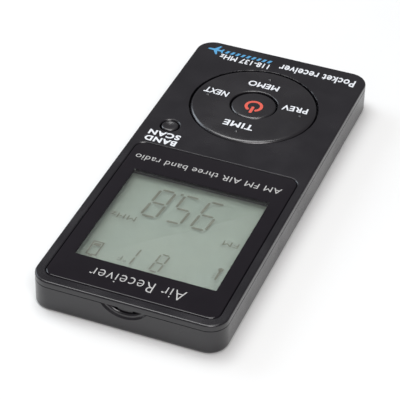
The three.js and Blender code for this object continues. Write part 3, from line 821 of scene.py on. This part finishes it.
def lettering(name, text, spot, size, surface, body, material,
              turn=0.0, bold=0.0, spacing=1.0):
    """Printed words whose ink fills a size (mm), centred on a spot (mm), just proud of a surface."""
    curve = outlines(name, text, spacing)
    curve.fill_mode = "BOTH"
    curve.offset = bold
    curve.extrude = WORD_DEPTH
    curve.resolution_u = 6
    holder, drawn, _ = evaluated(curve)
    mesh = bpy.data.meshes.new_from_object(drawn)
    bpy.data.objects.remove(holder)
    bpy.data.curves.remove(curve)
    xs = [v.co.x for v in mesh.vertices]
    ys = [v.co.y for v in mesh.vertices]
    centre = Vector(((min(xs) + max(xs)) / 2, (min(ys) + max(ys)) / 2, -WORD_DEPTH))
    scale_x = size[0] * MM / (max(xs) - min(xs))
    scale_y = size[1] * MM / (max(ys) - min(ys))
    scale = Matrix.Diagonal((scale_x, scale_y, INK / (2 * WORD_DEPTH), 1))
    spin = Matrix.Rotation(math.radians(turn), 4, "Z")
    move = Matrix.Translation((spot[0] * MM, spot[1] * MM, 0))
    mesh.transform(move @ spin @ scale @ Matrix.Translation(-centre))
    for vertex in mesh.vertices:
        vertex.co.z += surface(vertex.co.x, vertex.co.y)
    bm = bmesh.new()
    bm.from_mesh(mesh)
    bmesh.ops.remove_doubles(bm, verts=bm.verts, dist=MERGE_DISTANCE)
    bm.to_mesh(mesh)
    bm.free()
    return add_piece(name, mesh, body, material)


# name, text, centre x and y, ink width and height (mm), turn (degrees), weight, letter spacing
FACE_LEGENDS = [
    ("legend_band", "BAND", 15.5, -6.0, 8.0, 2.0, 0, 0.035, 1.14),
    ("legend_scan", "SCAN", 15.5, -8.6, 8.0, 2.0, 0, 0.035, 1.14),
    ("legend_type", "Pocket receiver", -9.9, -47.2, 20.0, 2.9, 0, 0.02, 1.08),
    ("legend_range", "118-137 MHz", 9.1, -46.1, 13.2, 2.2, 0, 0.02, 1.05),
]
RING_LEGENDS = [
    ("legend_time", "TIME", 0.5, -18.9, 7.6, 2.2, 0, 0.022, 1.08),
    ("legend_memo", "MEMO", 0.6, -37.15, 7.9, 2.3, 0, 0.022, 1.05),
    ("legend_prev", "PREV", -9.9, -30.55, 6.4, 2.2, 5, 0.022, 1.08),
    ("legend_next", "NEXT", 10.5, -30.2, 6.3, 2.2, -5, 0.022, 1.08),
]
WINDOW_LEGENDS = [
    ("legend_title", "Air Receiver", -0.1, 44.9, 22.2, 3.3, 0, -0.012, 1.1),
    ("legend_bands", "AM FM AIR three band radio", 0.4, 1.85, 36.4, 2.0, 0, -0.004, 1.06),
]


def print_legends(white, grey):
    """Every printed word, white on the plastic and grey on the window's border."""
    face = level(top_of("front_shell"))
    window = level(top_of("display_lens"))
    for rows, body, surface, ink in ((FACE_LEGENDS, "housing", face, white),
                                     (RING_LEGENDS, "rocker_ring", ring_surface(), white),
                                     (WINDOW_LEGENDS, "housing", window, grey)):
        for name, text, x, y, width, height, turn, bold, spacing in rows:
            lettering(name, text, (x, y), (width, height), surface, body, ink,
                      turn, bold, spacing)


def power_symbol(red):
    """The standard power sign: an open circle with a bar through its gap."""
    centre = centre_of("power_button")
    radius, stroke, opening, steps = 1.9 * MM, 0.75 * MM, 34, 48
    sweep = 360 - 2 * opening
    turns = [math.radians(90 + opening + sweep * i / steps) for i in range(steps + 1)]
    x, y = centre.x - 0.2 * MM, centre.y + 0.5 * MM
    circle = [(x + radius * math.cos(a), y + radius * math.sin(a)) for a in turns]
    bm = bmesh.new()
    ribbon(bm, circle, stroke, 0, INK)
    ribbon(bm, [(x, y + 0.6 * MM), (x, y + 2.6 * MM)], stroke, 0, INK)
    surface = power_surface()
    for vertex in bm.verts:
        vertex.co.z += surface(vertex.co.x, vertex.co.y)
    add_solid("power_symbol", bm, "power_key", red)


def flight_mark(blue):
    """A row of slanted dashes and a plain top-view airplane, pointing right."""
    bm = bmesh.new()
    z = top_of("front_shell")
    row_y, first_dash, dash_pitch, dash_count, plane_x = -48.35, 3.1, 1.42, 9, 17.6

    def printed(x, points):
        prism(bm, [((x + u) * MM, (row_y + v) * MM) for u, v in points], z, z + INK)

    lean, half_w, half_h = 0.25, 0.36, 0.62
    dash = [(-half_w - lean, -half_h), (half_w - lean, -half_h),
            (half_w + lean, half_h), (-half_w + lean, half_h)]
    for k in range(dash_count):
        printed(first_dash + dash_pitch * k, dash)
    # nose, body side, wing, body side, tail wing, tail; all in mm from the airplane's middle
    upper_half = [(2.2, 0), (1.9, 0.26), (1.1, 0.36), (0.55, 0.4), (-0.5, 1.95), (-0.95, 1.95),
                  (-0.45, 0.4), (-1.35, 0.32), (-1.75, 0.85), (-2.1, 0.85), (-1.9, 0.2)]
    printed(plane_x, upper_half + [(u, -v) for u, v in reversed(upper_half[1:])])
    add_solid("flight_mark", bm, "housing", blue)


# ------------------------------------------------------------------- the build


def finish_cad_nodes(shell, key):
    """Materials and soft edges for the pieces that stay CAD nodes."""
    black_zinc = metal("black_zinc", (0.10, 0.10, 0.11), 0.35)
    steel = metal("bright_steel", (0.55, 0.56, 0.58), 0.28, (1, 6, 1))
    tin = metal("tin_plate", (0.62, 0.63, 0.64), 0.3, (6, 1, 1))
    chip = moulded_plastic("moulded_resin", (0.012, 0.012, 0.013), 0.55, 0.15, 0.004, 0.1)
    silicone = moulded_plastic("silicone", (0.03, 0.03, 0.032), 0.8, 0.4, 0.01, 0.05)
    for name in ("front_shell", "back_shell"):
        finish_node(name, shell, 0.07)
    for name in ("volume_up_key", "volume_down_key"):
        finish_node(name, key, 0.25, 3)
    for k in range(1, 5):
        finish_node(f"case_screw_{k}", black_zinc, 0.06)
    for name in ("time", "memo", "prev", "next", "power", "band", "volume_up", "volume_down"):
        finish_node(f"switch_{name}", steel)
    for name in ("micro_usb_socket", "tuner_shield", "clock_crystal"):
        finish_node(name, tin, 0.05)
    for name in ("earphone_jack", "control_chip", "audio_amplifier", "temperature_sensor",
                 "charge_controller"):
        finish_node(name, chip, 0.08)
    for name in ("ring_pivot_collar", "lcd_connector_strip"):
        finish_node(name, silicone)
    finish_node("lens_adhesive", print_ink("tape", (0.02, 0.02, 0.021), 0.8))
    # The LCD frame's near-black colour is painted shade, so its inner edges read as shadowed.
    finish_node("lcd_frame", moulded_plastic("display_frame_painted_shade", (0.02, 0.021, 0.022), 0.6), 0.1)
    finish_node("light_guide", print_ink("light_guide", (0.74, 0.74, 0.70), 0.5))
    finish_node("backlight_leds", print_ink("led_resin", (0.8, 0.77, 0.5), 0.25))
    finish_node("main_board", circuit_board())
    finish_node("battery_pack", metal("pouch_foil", (0.5, 0.52, 0.55), 0.4, (1, 3, 1), 1.5))
    finish_node("ferrite_bar", moulded_plastic("ferrite", (0.035, 0.036, 0.04), 0.6, 0.5, 0.02, 0.1))
    finish_node("aerial_coil", metal("enamelled_wire", (0.45, 0.18, 0.07), 0.35, (12, 0.6, 0.6), 0.9))


def build():
    """The camera, the studio, and every piece with its material."""
    make_camera()
    make_studio()
    shell = moulded_plastic("shell_plastic", (0.0074, 0.0066, 0.0092), 0.23, 0.28, 0.003, ior=1.64)
    key = moulded_plastic("key_plastic", (0.0060, 0.0052, 0.0074), 0.25, 0.2, 0.003, ior=1.78)
    finish_cad_nodes(shell, key)
    make_ring(key)
    make_power_button(key)
    make_band_button(key)
    make_lens(clear_acrylic(), black_backed_acrylic())
    make_display(display_back(), display_ink())
    white = print_ink("white_ink", (0.80, 0.83, 0.86))
    print_legends(white, print_ink("window_ink", (0.50, 0.50, 0.49)))
    power_symbol(print_ink("red_ink", (0.72, 0.11, 0.075)))
    flight_mark(print_ink("blue_ink", (0.09, 0.35, 0.62)))


build()
